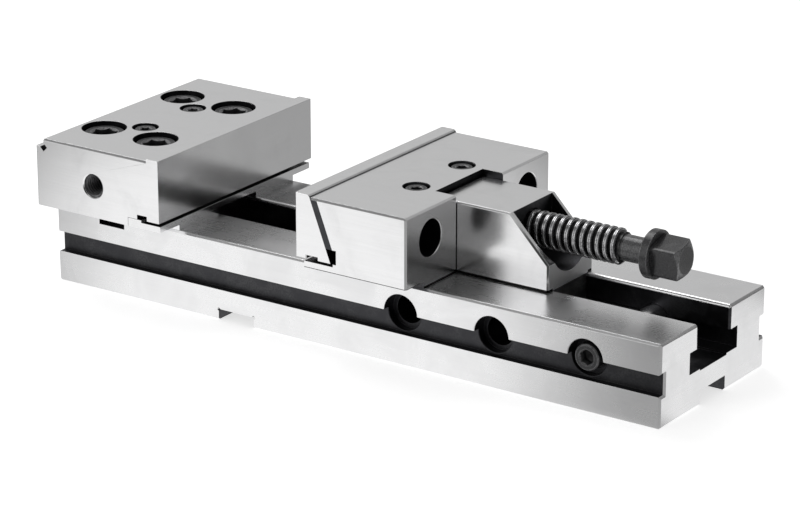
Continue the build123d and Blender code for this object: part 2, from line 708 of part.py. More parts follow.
# Spindle: tip and neck in the jaw, threaded length, collar and square for the crank
x_shoulder = x_notch + tip_neck_play + fork_play
x_tip_neck = x_notch - fork_thickness - fork_play - tip_neck_play
x_thread_end = x_pocket + spindle_visible_thread
x_collar = x_thread_end + spindle_neck_length
x_square = x_collar + collar_thickness
x_spindle_end = x_square + square_length
spindle_axis = Axis((0, 0, z_spindle), (1, 0, 0))
with BuildPart() as spindle:
    with BuildSketch(Plane.XZ):
        with BuildLine():
            Polyline(
                (x_tip_end, z_spindle),
                (x_tip_end, z_spindle + tip_diameter / 2 - tip_chamfer),
                (x_tip_end + tip_chamfer, z_spindle + tip_diameter / 2),
                (x_tip_neck, z_spindle + tip_diameter / 2),
                (x_tip_neck, z_spindle + tip_neck_diameter / 2),
                (x_shoulder, z_spindle + tip_neck_diameter / 2),
                (x_shoulder, z_spindle + thread_diameter / 2 - thread_end_chamfer),
                (x_shoulder + thread_end_chamfer, z_spindle + thread_diameter / 2),
                (x_thread_end - thread_end_chamfer, z_spindle + thread_diameter / 2),
                (x_thread_end, z_spindle + spindle_neck_diameter / 2),
                (x_collar, z_spindle + spindle_neck_diameter / 2),
                (x_collar, z_spindle + collar_diameter / 2 - collar_chamfer),
                (x_collar + collar_chamfer, z_spindle + collar_diameter / 2),
                (x_square, z_spindle + collar_diameter / 2),
                (x_square, z_spindle),
                close=True,
            )
        make_face()
    revolve(axis=spindle_axis)
    with BuildSketch(Plane.YZ.offset(x_square)):
        with Locations((0, z_spindle)):
            Rectangle(square_width, square_width, rotation=square_turn)
    extrude(amount=square_length)
    bevel_run = (square_width - square_end_diameter / 2) * tan(radians(square_end_angle))
    with BuildSketch(Plane.XZ):
        with BuildLine():
            Polyline(
                (x_spindle_end, z_spindle + square_end_diameter / 2),
                (x_spindle_end, z_spindle + square_width),
                (x_spindle_end - bevel_run, z_spindle + square_width),
                close=True,
            )
        make_face()
    revolve(axis=spindle_axis, mode=Mode.SUBTRACT)

pieces = {
    "bed": bed,
    "stop_pin": stop_pin,
    "fixed_jaw": fixed_jaw,
    "fixed_jaw_rail": fixed_jaw_rail,
    "fixed_jaw_key": fixed_jaw_key,
    "jaw_plate": jaw_plate,
    "jaw_slide_plate": jaw_slide_plate,
    "moving_jaw": moving_jaw,
    "jaw_guide": jaw_guide,
    "spindle_fork": spindle_fork,
    "spindle_block": spindle_block,
    "spindle_nut": spindle_nut,
    "block_foot": block_foot,
    "spindle": spindle,
}

# Screws that clamp the fixed jaw to the bed, and the two that hold its key
anchor_shank = anchor_seat - bed_height + anchor_thread_depth
for number, spot in enumerate(GridLocations(anchor_spacing_x, anchor_spacing_y, 2, 2), 1):
    seat = facing(x_key + spot.position.X, spot.position.Y, anchor_seat, (0, 0, 1))
    pieces[f"anchor_screw_{number}"] = cap_screw(anchor_screw, seat, anchor_shank)
key_shank = key_seat - key_top + key_screw_thread_depth
for number, spot in enumerate(GridLocations(0, key_screw_spacing, 1, 2), 1):
    seat = facing(x_key, spot.position.Y, key_seat, (0, 0, 1))
    pieces[f"key_screw_{number}"] = cap_screw(top_screw, seat, key_shank)

# Screws that hold the guide block under the moving jaw
guide_shank = guide_seat - z_guide_cap + guide_screw_thread_depth
for number, spot in enumerate(GridLocations(0, guide_screw_spacing, 1, 2), 1):
    seat = facing(x_guide_screw, spot.position.Y, guide_seat, (0, 0, 1))
    pieces[f"guide_screw_{number}"] = cap_screw(top_screw, seat, guide_shank)

# Draw screws and their disc springs in the wells at the back of the moving jaw
x_well_floor = x_jaw_rear - draw_well_depth
spring_pitch = spring_strip + spring_cone_height - spring_rim_overlap
spring_length = spring_discs * spring_pitch + spring_rim_overlap
x_draw_seat = x_well_floor + spring_length
draw_shank = x_draw_seat - plate_back(z_draw) + draw_thread_depth
for number, spot in enumerate(GridLocations(0, draw_screw_spacing, 1, 2), 1):
    seat = facing(x_draw_seat, spot.position.Y, z_draw, (1, 0, 0))
    pieces[f"draw_screw_{number}"] = cap_screw(draw_screw, seat, draw_shank)
    with BuildPart() as disc_spring:
        with BuildSketch(Plane.XZ.offset(-spot.position.Y)):
            for disc in range(spring_discs):
                x_disc = x_well_floor + disc * spring_pitch
                z_inner = z_draw + spring_inner_diameter / 2
                z_outer = z_draw + spring_outer_diameter / 2
                first, last = (z_inner, z_outer) if disc % 2 == 0 else (z_outer, z_inner)
                with BuildLine():
                    Polyline(
                        (x_disc, first),
                        (x_disc + spring_cone_height, last),
                        (x_disc + spring_cone_height + spring_strip, last),
                        (x_disc + spring_strip, first),
                        close=True,
                    )
                make_face()
        revolve(axis=Axis((0, spot.position.Y, z_draw), (1, 0, 0)))
    pieces[f"draw_spring_{number}"] = disc_spring

# Screws of the fork
for number, spot in enumerate(GridLocations(0, fork_screw_spacing, 1, 2), 1):
    seat = facing(x_notch - fork_screw.height, spot.position.Y, z_spindle - fork_screw_drop, (1, 0, 0))
    shank = fork_thickness - fork_screw.height + fork_screw_thread_depth
    pieces[f"fork_screw_{number}"] = cap_screw(fork_screw, seat, shank)

# Screws that hold the foot under the spindle block
for step in range(2):
    x_screw = x_block_front + foot_screw_from_front + step * foot_screw_spacing
    seat = facing(x_screw, 0, foot_seat, (0, 0, -1))
    shank = bed_height - foot_seat + foot_screw_thread_depth
    pieces[f"foot_screw_{step + 1}"] = cap_screw(foot_screw, seat, shank)

os.makedirs("parts", exist_ok=True)
for name, piece in pieces.items():
    piece.part.label = name
    export_step(piece.part, f"parts/{name}.step")
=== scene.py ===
"""Dresses a modular machine vise: ground steel blocks, blackened grooves, black cap screws, a threaded
spindle and a pale stage. Lengths are in metres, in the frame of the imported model: X along the bed
towards the spindle's square, Z up, the origin in the middle of the bed's underside."""

import math

import bmesh
import bpy
import numpy as np
from bpy.props import FloatProperty, FloatVectorProperty, IntProperty, PointerProperty
from bpy.types import Operator, Panel, PropertyGroup
from mathutils import Matrix, Vector


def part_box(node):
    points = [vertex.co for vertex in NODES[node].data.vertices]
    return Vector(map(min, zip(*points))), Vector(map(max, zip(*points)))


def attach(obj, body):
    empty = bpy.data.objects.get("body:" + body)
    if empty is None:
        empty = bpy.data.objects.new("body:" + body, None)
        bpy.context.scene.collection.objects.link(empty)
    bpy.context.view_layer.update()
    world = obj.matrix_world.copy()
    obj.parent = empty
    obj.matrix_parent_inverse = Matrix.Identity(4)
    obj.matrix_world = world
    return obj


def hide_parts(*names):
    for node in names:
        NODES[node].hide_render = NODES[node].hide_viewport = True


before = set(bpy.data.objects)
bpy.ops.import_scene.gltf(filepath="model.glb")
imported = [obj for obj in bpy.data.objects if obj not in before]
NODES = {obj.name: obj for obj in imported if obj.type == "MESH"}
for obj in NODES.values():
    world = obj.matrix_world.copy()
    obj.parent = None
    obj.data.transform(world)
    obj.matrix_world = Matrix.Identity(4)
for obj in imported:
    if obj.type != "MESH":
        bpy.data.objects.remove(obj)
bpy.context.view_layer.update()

bl_info = {
    "name": "Modular machine vise",
    "version": (1, 0, 0),
    "blender": (4, 5, 0),
    "location": "3D View > Sidebar > Vise",
    "description": "Dresses a modular machine vise with ground steel, black screws and a threaded spindle",
    "category": "Object",
}

MM = 0.001
TURN = 2 * math.pi


# Sizes and colours a user may change


def length(label, words, default, low=0.0):
    """A length property in metres, given in millimetres."""
    return FloatProperty(
        name=label, description=words, default=default * MM, min=low * MM, unit="LENGTH", precision=5
    )


def colour(label, words, default):
    """A colour property."""
    return FloatVectorProperty(
        name=label, description=words, default=default, size=3, min=0.0, max=1.0, subtype="COLOR"
    )


def share(label, words, default, high=1.0):
    """A plain number from nought upwards."""
    return FloatProperty(name=label, description=words, default=default, min=0.0, max=high)


class ViseFinishes(PropertyGroup):
    """Colours and roughness of the vise's finishes."""

    steel: colour("Ground steel", "Colour of the ground faces", (0.93, 0.93, 0.935))
    steel_shade: colour("Steel shade", "Colour of the duller patches", (0.82, 0.82, 0.825))
    steel_roughness: share("Steel roughness", "Roughness of the ground faces", 0.18)
    # blackened steel of the key, and the painted shade of grooves, hollows and the work stop hole's thread
    blackened_and_shade: colour("Blackened steel", "Colour of grooves and hollows", (0.050, 0.050, 0.054))
    oxide: colour("Black oxide", "Colour of the screws and the spindle", (0.012, 0.012, 0.0135))
    oxide_worn: colour("Rubbed oxide", "Colour where the oxide is rubbed thin", (0.62, 0.62, 0.63))
    slide: colour("Slide strip", "Colour of the blued strip", (0.055, 0.056, 0.060))
    pin: colour("Pin steel", "Colour of the cross pin and the guides", (0.60, 0.60, 0.61))
    spring: colour("Spring steel", "Colour of the disc springs", (0.30, 0.30, 0.31))
    bronze: colour("Bronze", "Colour of the nut", (0.55, 0.40, 0.22))


class ViseSizes(PropertyGroup):
    """Sizes of the small forms that the finished pieces add to the solids."""

    edge_radius: length("Edge radius", "Small radius along the ground edges", 0.15)
    socket_mouth: length("Socket mouth", "Reach of a socket's chamfer past its corners", 0.35)
    head_chamfer: length("Head chamfer", "Chamfer round the top of a cap screw's head", 0.8)
    knurl_depth: length("Knurl depth", "Depth of the grooves round a head", 0.22)
    knurl_pitch: length("Knurl pitch", "Distance between the grooves round a head", 1.25, 0.5)
    thread_pitch: length("Thread pitch", "Lead of the spindle's thread", 5.0, 1.0)
    thread_depth: length("Thread depth", "Depth of the spindle's thread", 2.7)
    crest_width: length("Crest width", "Flat width at the crest of the thread", 1.5)
    flank_run: length("Flank run", "Length along the spindle that a flank takes", 0.95)
    stop_pitch: length("Work stop pitch", "Pitch of the thread in the fixed jaw's side", 2.0, 0.5)
    around: IntProperty(name="Facets round the spindle", description="Columns of the spindle's grid",
                        default=96, min=24, max=192)


class ViseStage(PropertyGroup):
    """Camera, lamp and floor."""

    camera: FloatVectorProperty(name="Camera", description="Place of the camera", size=3,
                                default=(1.0895, -1.57505, 0.7256), subtype="TRANSLATION",
                                unit="LENGTH")
    heading: FloatProperty(name="Heading", description="Turn of the camera about Z",
                           default=math.radians(34.663), subtype="ANGLE")
    elevation: FloatProperty(name="Elevation", description="How far the camera looks down",
                             default=math.radians(19.659), subtype="ANGLE")
    roll: FloatProperty(name="Roll", description="Turn of the camera about its own axis",
                        default=math.radians(-0.0586), subtype="ANGLE")
    lens: FloatProperty(name="Lens", description="Focal length on a sensor 36 mm wide",
                        default=158.04, min=10.0, unit="CAMERA")
    floor_size: length("Floor", "Side of the floor", 14000.0)
    floor: colour("Floor colour", "Colour of the floor", (0.86, 0.86, 0.86))
    key: share("Key lamp", "Power of the soft lamp high at the left, in watts", 9.0, 1000.0)


# Node helpers and shared effects


def add_node(tree, kind, inputs=None, **settings):
    """Adds one node. inputs maps its sockets to values or to the sockets that feed them."""
    made = tree.nodes.new(kind)
    for key, value in settings.items():
        setattr(made, key, value)
    for key, value in (inputs or {}).items():
        if isinstance(value, bpy.types.NodeSocket):
            tree.links.new(value, made.inputs[key])
        else:
            made.inputs[key].default_value = value
    return made


def maths(tree, operation, first, second=0.0, third=0.0, clamp=False):
    """One sum on numbers."""
    return add_node(
        tree, "ShaderNodeMath", {0: first, 1: second, 2: third}, operation=operation, use_clamp=clamp
    ).outputs[0]


def blend(tree, factor, first, second):
    """A mix of two colours."""
    made = add_node(tree, "ShaderNodeMix", {0: factor, 6: first, 7: second}, data_type="RGBA")
    return made.outputs[2]


def spread(tree, value, low, high, to_low=0.0, to_high=1.0):
    """Stretches a value from one range to another, smoothly and with ends that hold."""
    return add_node(
        tree, "ShaderNodeMapRange", {0: value, 1: low, 2: high, 3: to_low, 4: to_high},
        interpolation_type="SMOOTHSTEP",
    ).outputs[0]


def noise(tree, point, scale, detail, **more):
    """A fractal noise at a point."""
    inputs = {"Vector": point, "Scale": scale, "Detail": detail, **more}
    return add_node(tree, "ShaderNodeTexNoise", inputs).outputs[0]


def effect(name, place, numbers, results):
    """A new node group that takes a place and some numbers: (tree, input sockets)."""
    tree = bpy.data.node_groups.new(name, "ShaderNodeTree")
    tree.interface.new_socket(place, in_out="INPUT", socket_type="NodeSocketVector")
    for label, default in numbers.items():
        made = tree.interface.new_socket(label, in_out="INPUT", socket_type="NodeSocketFloat")
        made.default_value = default
    for label in results:
        tree.interface.new_socket(label, in_out="OUTPUT", socket_type="NodeSocketFloat")
    return tree, tree.nodes.new("NodeGroupInput").outputs


def grinding_marks():
    """Long fine streaks along the first coordinate of a piece's lay map, with broader ones among
    them."""
    numbers = {"Along": 12.0, "Across": 1500.0}
    tree, given = effect("Grinding marks", "Lay", numbers, ["Streaks", "Height"])
    stretch = add_node(tree, "ShaderNodeCombineXYZ", {0: given["Along"], 1: given["Across"]})
    point = add_node(tree, "ShaderNodeVectorMath", {0: given["Lay"], 1: stretch.outputs[0]},
                     operation="MULTIPLY").outputs[0]
    fine = noise(tree, point, 1.0, 5.0, Roughness=0.65)
    coarse = noise(tree, point, 0.17, 2.0)
    both = maths(tree, "MULTIPLY_ADD", fine, 0.7, maths(tree, "MULTIPLY", coarse, 0.3))
    add_node(tree, "NodeGroupOutput", {"Streaks": spread(tree, both, 0.3, 0.7), "Height": both})
    return tree


def clouding():
    """Soft dull patches, as oil and handling leave on steel."""
    tree, given = effect("Clouding", "Point", {"Size": 28.0, "Patch": 0.5}, ["Patches"])
    broad = noise(tree, given["Point"], given["Size"], 5.0, Roughness=0.6, Distortion=0.6)
    low = maths(tree, "SUBTRACT", given["Patch"], 0.12)
    high = maths(tree, "ADD", given["Patch"], 0.22)
    add_node(tree, "NodeGroupOutput", {"Patches": spread(tree, broad, low, high)})
    return tree


def rubbed_edges():
    """Where a black film is rubbed thin: a wear value, broken up by a fine noise."""
    numbers = {"Wear": 0.0, "Amount": 1.0, "Grit": 900.0}
    tree, given = effect("Rubbed edges", "Point", numbers, ["Mask", "Grain"])
    grain = noise(tree, given["Point"], given["Grit"], 4.0)
    broken = maths(tree, "MULTIPLY", given["Wear"], spread(tree, grain, 0.34, 0.62, 0.35, 1.0))
    mask = maths(tree, "MULTIPLY", broken, given["Amount"], clamp=True)
    add_node(tree, "NodeGroupOutput", {"Mask": mask, "Grain": grain})
    return tree


def use_effect(tree, name, make, inputs):
    """Places a shared effect in a material. It is built the first time it is asked for."""
    group = bpy.data.node_groups.get(name) or make()
    return add_node(tree, "ShaderNodeGroup", inputs, node_tree=group).outputs


# Finishes


def new_material(name):
    """An empty material and its tree."""
    made = bpy.data.materials.new(name + "_finish")
    made.use_nodes = True
    made.node_tree.nodes.clear()
    return made, made.node_tree


def surface(tree, inputs):
    """A material's shader and its output."""
    shader = add_node(tree, "ShaderNodeBsdfPrincipled", inputs)
    add_node(tree, "ShaderNodeOutputMaterial", {"Surface": shader.outputs[0]})


def relief(tree, height, strength, depth):
    """The normals of a fine relief. The depth is in millimetres."""
    inputs = {"Height": height, "Strength": strength, "Distance": depth * MM}
    return add_node(tree, "ShaderNodeBump", inputs).outputs[0]


def once(make):
    """Lets a finish be made once for each name and found again after that."""

    def found_or_made(name, *values, **named):
        return bpy.data.materials.get(name + "_finish") or make(name, *values, **named)

    return found_or_made


@once
def ground_steel(name, bright, dull, roughness, patch=0.56, feet=()):
    """Finely ground steel: streaks along the lay of each face, soft dull patches, and roughness that
    follows both. Each listed height and distance from the middle paints shade onto the strip below
    the height and beyond the distance: a painted shadow at the foot of the piece."""
    made, tree = new_material(name)
    lay = add_node(tree, "ShaderNodeUVMap", uv_map="Lay").outputs[0]
    point = add_node(tree, "ShaderNodeTexCoord").outputs["Object"]
    streaks = use_effect(tree, "Grinding marks", grinding_marks,
                         {"Lay": lay, "Along": 14.0, "Across": 1400.0})
    clouds = use_effect(tree, "Clouding", clouding, {"Point": point, "Size": 34.0, "Patch": patch})
    fine = maths(tree, "MULTIPLY", streaks["Streaks"], 0.22)
    mixed = maths(tree, "MULTIPLY_ADD", clouds["Patches"], 0.55, fine)
    base = blend(tree, mixed, (*bright, 1.0), (*dull, 1.0))
    # painted shadow: each strip below a height and beyond a distance is darkened to near black
    for height, distance in feet:
        place = add_node(tree, "ShaderNodeSeparateXYZ", {0: point}).outputs
        strip = maths(tree, "LESS_THAN", place[2], height * MM)
        outer = maths(tree, "GREATER_THAN", maths(tree, "ABSOLUTE", place[1]), distance * MM)
        shadow = maths(tree, "MULTIPLY", strip, outer)
        base = blend(tree, shadow, base, (0.012, 0.012, 0.012, 1.0))
    rough = maths(tree, "MULTIPLY_ADD", clouds["Patches"], 0.05, roughness)
    rough = maths(tree, "MULTIPLY_ADD", streaks["Streaks"], 0.04, rough)
    surface(tree, {"Base Color": base, "Metallic": 1.0, "Roughness": rough,
                   "Normal": relief(tree, streaks["Height"], 0.35, 0.0003)})
    return made


@once
def dark_steel(name, dark, light, roughness, rub=0.35):
    """Dark steel for blued or blackened parts and for painted shade: lighter rubbed specks and a slightly
    uneven gloss.
    """
    made, tree = new_material(name)
    point = add_node(tree, "ShaderNodeTexCoord").outputs["Object"]
    clouds = use_effect(tree, "Clouding", clouding, {"Point": point, "Size": 60.0, "Patch": 0.5})
    rubbed = use_effect(tree, "Rubbed edges", rubbed_edges,
                        {"Point": point, "Wear": clouds["Patches"], "Amount": rub, "Grit": 1100.0})
    base = blend(tree, rubbed["Mask"], (*dark, 1.0), (*light, 1.0))
    rough = maths(tree, "MULTIPLY_ADD", clouds["Patches"], 0.12, roughness)
    surface(tree, {"Base Color": base, "Metallic": 1.0, "Roughness": rough,
                   "Normal": relief(tree, rubbed["Grain"], 0.25, 0.02)})
    return made


@once
def oxide_steel(name, dark, rubbed_colour, roughness, amount=1.0):
    """Oiled black oxide on turned steel: rubbed lighter where the piece's wear attribute says so."""
    made, tree = new_material(name)
    point = add_node(tree, "ShaderNodeTexCoord").outputs["Object"]
    wear = add_node(tree, "ShaderNodeAttribute", attribute_name="wear").outputs["Fac"]
    rubbed = use_effect(tree, "Rubbed edges", rubbed_edges,
                        {"Point": point, "Wear": wear, "Amount": amount, "Grit": 1400.0})
    clouds = use_effect(tree, "Clouding", clouding, {"Point": point, "Size": 120.0, "Patch": 0.5})
    film = blend(tree, clouds["Patches"], (*dark, 1.0), (*[1.5 * c for c in dark], 1.0))
    base = blend(tree, rubbed["Mask"], film, (*rubbed_colour, 1.0))
    rough = maths(tree, "MULTIPLY_ADD", clouds["Patches"], 0.10, roughness)
    surface(tree, {"Base Color": base, "Metallic": rubbed["Mask"], "Roughness": rough, "IOR": 1.55,
                   "Normal": relief(tree, rubbed["Grain"], 0.3, 0.02)})
    return made


def block_steel(finish, name="ground_steel", matte=0.0, **more):
    """The finish of the ground blocks, made duller by a share of roughness."""
    roughness = finish.steel_roughness + matte
    return ground_steel(name, finish.steel, finish.steel_shade, roughness, **more)


def hollow_shade_steel(finish):
    """Painted shade: a dark finish for grooves, the channel and hollows, where shade falls."""
    return dark_steel("blackened_steel", finish.blackened_and_shade, (0.16, 0.16, 0.165), 0.36)


def bore_steel(finish):
    """Painted shade for the fixed jaw's screw holes and slots, darker still, where little light gets in.
    """
    dark = tuple(0.4 * part for part in finish.blackened_and_shade)
    return dark_steel("bore_steel", dark, (0.07, 0.07, 0.072), 0.42)


def choices(context):
    """The finishes and the sizes of a scene."""
    return context.scene.vise_finishes, context.scene.vise_sizes


# Making pieces


def placed(name, data):
    """A new object in the scene."""
    piece = bpy.data.objects.new(name, data)
    bpy.context.scene.collection.objects.link(piece)
    return piece


def finish_piece(piece, body, slot, *nodes):
    """Puts a finished piece on its body and hides the nodes it stands for. The slot is not used."""
    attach(piece, body)
    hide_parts(*nodes)


def dress(node, material):
    """Gives a node that stays its material."""
    mesh = NODES[node].data
    mesh.materials.clear()
    mesh.materials.append(material)


def read(items, name, width=3, kind=np.float32):
    """One property of all the items of a mesh, with a row for each item."""
    found = np.empty(len(items) * width, kind)
    items.foreach_get(name, found)
    return found.reshape(-1, width)


def lay_map(mesh):
    """Gives a mesh its lay map: each face is laid flat by its main direction, with the first
    coordinate along the grinding marks. They run along X, but along Y on faces that look along X."""
    corner = read(mesh.vertices, "co")[read(mesh.loops, "vertex_index", 1, np.int32)[:, 0]]
    sides = read(mesh.polygons, "loop_total", 1, np.int32)[:, 0]
    turned = np.abs(np.repeat(read(mesh.polygons, "normal"), sides, axis=0))
    along_x = turned[:, 0] < 0.8
    upright = turned[:, 1] > turned[:, 2]
    first = np.where(along_x, corner[:, 0], corner[:, 1])
    second = np.where(along_x & ~upright, corner[:, 1], corner[:, 2])
    layer = mesh.uv_layers.new(name="Lay")
    layer.data.foreach_set("uv", np.stack([first, second], axis=1).astype(np.float32).ravel())


def finish_block(node, body, slot, materials, choose, radius):
    """Makes a merged copy of a block's solid with small radii along its edges. choose tells from the
    middles, in millimetres, and the normals of the faces which of the materials each face gets."""
    mesh = NODES[node].data.copy()
    mesh.name = node + "_finished"
    work = bmesh.new()
    work.from_mesh(mesh)
    bmesh.ops.remove_doubles(work, verts=work.verts, dist=2e-6)
    bmesh.ops.dissolve_limit(work, angle_limit=math.radians(0.4), verts=work.verts, edges=work.edges)
    bmesh.ops.dissolve_degenerate(work, dist=0.13 * MM, edges=work.edges)
    work.to_mesh(mesh)
    work.free()
    for layer in list(mesh.uv_layers):
        mesh.uv_layers.remove(layer)
    mesh.materials.clear()
    for material in materials:
        mesh.materials.append(material)
    chosen = choose(read(mesh.polygons, "center") / MM, read(mesh.polygons, "normal"))
    mesh.polygons.foreach_set("material_index", chosen.astype(np.int32))
    lay_map(mesh)
    mesh.shade_smooth()
    mesh.update()
    piece = placed(node + "_finished", mesh)
    bevel = piece.modifiers.new("Edge radii", "BEVEL")
    bevel.width = radius
    bevel.segments = 2
    bevel.limit_method = "ANGLE"
    bevel.angle_limit = math.radians(32)
    bevel.use_clamp_overlap = False
    bevel.miter_outer = "MITER_ARC"
    steady = piece.modifiers.new("Flat faces", "WEIGHTED_NORMAL")
    steady.mode = "FACE_AREA"
    steady.weight = 80
    steady.keep_sharp = True
    finish_piece(piece, body, slot, node)


def quads(index, after):
    """Four-sided faces between rings. index numbers the places and after their next neighbours."""
    return np.stack([index[:-1], after[:-1], after[1:], index[1:]], axis=-1).reshape(-1, 4)


def shell(name, points, wear, smooth_below):
    """A closed skin over a grid of rings: points[i, j] is the place of column j on ring i, each ring
    closes on itself, and rings that shrink to a point close the ends."""
    index = np.arange(wear.size).reshape(wear.shape)
    faces = quads(index, np.roll(index, -1, axis=1))
    return skin(name, points.reshape(-1, 3), faces, wear.ravel(), smooth_below)


def skin(name, places, faces, wear, smooth_below):
    """A mesh from places and four-sided faces, merged and turned outwards by its own volume."""
    corner = places[faces]
    volume = 0.0
    for n in (1, 2):
        area = np.cross(corner[:, n] - corner[:, 0], corner[:, n + 1] - corner[:, 0])
        volume += (area * corner[:, 0]).sum()
    if volume < 0:
        faces = faces[:, ::-1]
    mesh = bpy.data.meshes.new(name)
    mesh.from_pydata(places.tolist(), [], faces.tolist())
    worn = mesh.attributes.new("wear", "FLOAT", "POINT")
    worn.data.foreach_set("value", wear.astype(np.float32))
    work = bmesh.new()
    work.from_mesh(mesh)
    bmesh.ops.remove_doubles(work, verts=work.verts, dist=2e-6)
    bmesh.ops.dissolve_degenerate(work, dist=1e-7, edges=work.edges)
    work.to_mesh(mesh)
    work.free()
    mesh.shade_smooth()
    mesh.set_sharp_from_angle(angle=math.radians(smooth_below))
    mesh.update()
    return placed(name, mesh)


def stacked(rings, angle):
    """Rings of place along the axis, radius and wear, as three arrays with a column for each angle."""
    circle = np.ones_like(angle)
    return (np.stack([ring[n] * circle for ring in rings]) for n in range(3))


def hexagon(angle, width):
    """Distance from the middle to a hexagon's side at an angle, with corners at 0, 60, 120 degrees
    and so on: half the width across flats over the cosine of the angle to the nearest flat."""
    return width / 2 / np.cos(np.mod(angle, math.pi / 3) - math.pi / 6)


def about(axis, centre, along, radius, angle):
    """Places at a distance along a main axis, and at a radius and angle about it. The angle starts
    from Y about the X axis, from Z about Y and from X about Z, and runs round with the right hand."""
    along, radius, angle = np.broadcast_arrays(along, radius, angle)
    first, second = radius * np.cos(angle), radius * np.sin(angle)
    if axis == "X":
        parts = (along, first + centre[1], second + centre[2])
    elif axis == "Y":
        parts = (second + centre[0], along, first + centre[2])
    else:
        parts = (first + centre[0], second + centre[1], along)
    return np.stack(parts, axis=-1)


def cap_screw(node, axis, way, shank, head_height, socket, socket_depth, turn, sizes):
    """A socket cap screw, from the tip of its shank up over its head and down into its socket, as
    rings of height h and radius r. The head's side is r = R - k (1 - cos n a) / 2 for n grooves of
    depth k. The mouth of the socket lies on a cone, so its height falls with the hexagon's distance
    from the middle."""
    low, high = (np.array(corner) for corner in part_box(node))
    number = "XYZ".index(axis)
    centre = (low + high) / 2
    reach = high[number] - low[number]
    head = (high - low)[(number + 1) % 3] / 2
    grooves = 6 * max(4, round(TURN * head / sizes.knurl_pitch / 6))
    angle = np.linspace(0, TURN, 4 * grooves, endpoint=False)
    flat = hexagon(angle + turn, socket)
    knurled = head - (1 - np.cos(grooves * angle)) / 2 * sizes.knurl_depth
    bevel = sizes.head_chamfer if head > 5 * MM else 0.4 * sizes.head_chamfer
    mouth = hexagon(0, socket) + sizes.socket_mouth
    foot_chamfer, rim, nick = 0.3 * MM, 0.35 * MM, 0.02 * MM
    shoulder = head_height - bevel
    tip = min(0.12 * shank, 0.8 * MM)
    start = head_height - reach
    floor = head_height - socket_depth
    inlet = head_height - (mouth - flat) * math.tan(math.radians(40))
    rings = [
        (start, 0.0, 0.0),
        (start, shank / 2 - tip, 0.0),
        (start + tip, shank / 2, 0.2),
        (0.0, shank / 2, 0.0),
        (0.0, head - foot_chamfer, 0.2),
        (foot_chamfer, knurled, 0.5),
        (0.6 * shoulder, knurled, 0.2),
        (shoulder - 0.4 * MM, knurled, 0.3),
        (shoulder, head - nick, 0.9),
        (shoulder + 0.55 * bevel, head - 0.35 * bevel, 0.75),
        (head_height, head - bevel, 0.6),
        (head_height, head - bevel - rim, 0.05),
        (head_height, mouth + 0.25 * MM, 0.03),
        (head_height, mouth, 0.8),
        (inlet, flat, 0.7),
        (inlet - 0.25 * MM, flat - nick, 0.1),
        (head_height - 0.5 * socket_depth, flat - nick, 0.0),
        (floor, flat - 1.5 * nick, 0.0),
        (floor - 0.22 * socket, 0.0, 0.0),
    ]
    height, radius, wear = stacked(rings, angle)
    seat = low[number] + reach - head_height if way > 0 else low[number] + head_height
    points = about(axis, centre, seat + way * height, radius, angle[None, :])
    return shell(node + "_finished", points, wear, 28.0)


# Where the blocks get painted shade


# all in millimetres: limits just outside the forms, and places and radii of holes
BED_SIDE = 56.95
KEY_SLOT = (-177.1, -158.2)
CROSS_HOLES = (39.8, 100.8, 161.8)
CROSS_HOLE_HEIGHT = 30.9
ANCHOR_SCREWS = ((-187.05, 37.75, 13.6), (-148.15, 37.75, 13.6))
KEY_SCREW = (-167.6, 23.0, 8.6)
STOP_HOLE = (-166.1, 72.2)
DRAW_SCREW = (49.55, 77.0)
SPINDLE_HEIGHT = 76.4
POCKET_BACK = 91.0


def within(value, low, high):
    """Where a value lies between two limits."""
    return (value > low) & (value < high)


def bed_faces(middle, normal):
    """Side grooves, channel, key slot, cross holes behind their mouths, and keyways."""
    x, y, z = middle.T
    side = np.abs(y)
    groove = within(side, 52.3, BED_SIDE) & within(z, 18.6, 31.3)
    channel = (side < 26.1) & within(z, 20.7, 46.9)
    slot = within(x, *KEY_SLOT) & within(z, 41.7, 48.95)
    under = within(z, 0.05, 8.75) & (side < BED_SIDE) & (np.abs(x) < 208.2)
    keyways = under & ((side < 13.6) | within(x, -89.5, -62.7))
    holes = np.zeros(len(x), bool)
    for station in CROSS_HOLES:
        away = np.hypot(x - station, z - CROSS_HOLE_HEIGHT)
        holes |= (away < 11.8) & within(side, 26.0, 56.7)
    end = (np.abs(normal[:, 0]) > 0.9) & (np.abs(x) > 208.0)
    return (groove | channel | slot | keyways | holes) & ~end


def fixed_jaw_faces(middle, normal):
    """Rail slot, hook groove, corner relief, screw holes, key slot and work stop hole."""
    x, y, z = middle.T
    side = np.abs(y)
    slot = within(x, -140.6, -117.5) & within(z, 52.8, 61.1) & (side < 74.9)
    relief = within(x, -205.6, -200.4) & within(z, 87.0, 92.2) & (side < 74.9)
    key = within(x, *KEY_SLOT) & (z < 55.2) & (side < 55.9)
    screws = np.zeros(len(x), bool)
    for at_x, at_y, radius in (*ANCHOR_SCREWS, KEY_SCREW):
        screws |= (np.hypot(x - at_x, side - at_y) < radius) & (z < 95.8)
    stop = (np.hypot(x - STOP_HOLE[0], z - STOP_HOLE[1]) < 7.3) & within(y, -74.2, -50.0)
    return slot | relief | key | screws | stop


def moving_jaw_faces(middle, normal):
    """Chip pocket, notch for the spindle block, wells of the draw screws, screw holes, the guide's
    seat and the sides of the soles, all for painted shade; on the soles it is the overhang's shadow."""
    x, y, z = middle.T
    side = np.abs(y)
    pocket = within(z, 58.0, 66.7) & within(x, 5.0, 8.6) & (side < 73.6)
    notch = within(x, 35.0, 55.2) & (side < 24.3) & (z < 93.0)
    inside = (side < 30.4) & (z < 61.2) & (x < 41.3)
    wells = np.hypot(side - DRAW_SCREW[0], z - DRAW_SCREW[1]) < 11.0
    wells &= within(x, 10.0, 54.7) & (side < 73.0)
    screws = (np.hypot(x - 27.7, side - 23.2) < 8.6) & (z < 95.8)
    soles = within(side, 54.5, 57.5) & (z < 55.0) & (np.abs(normal[:, 1]) > 0.5)
    return pocket | notch | inside | wells | screws | soles


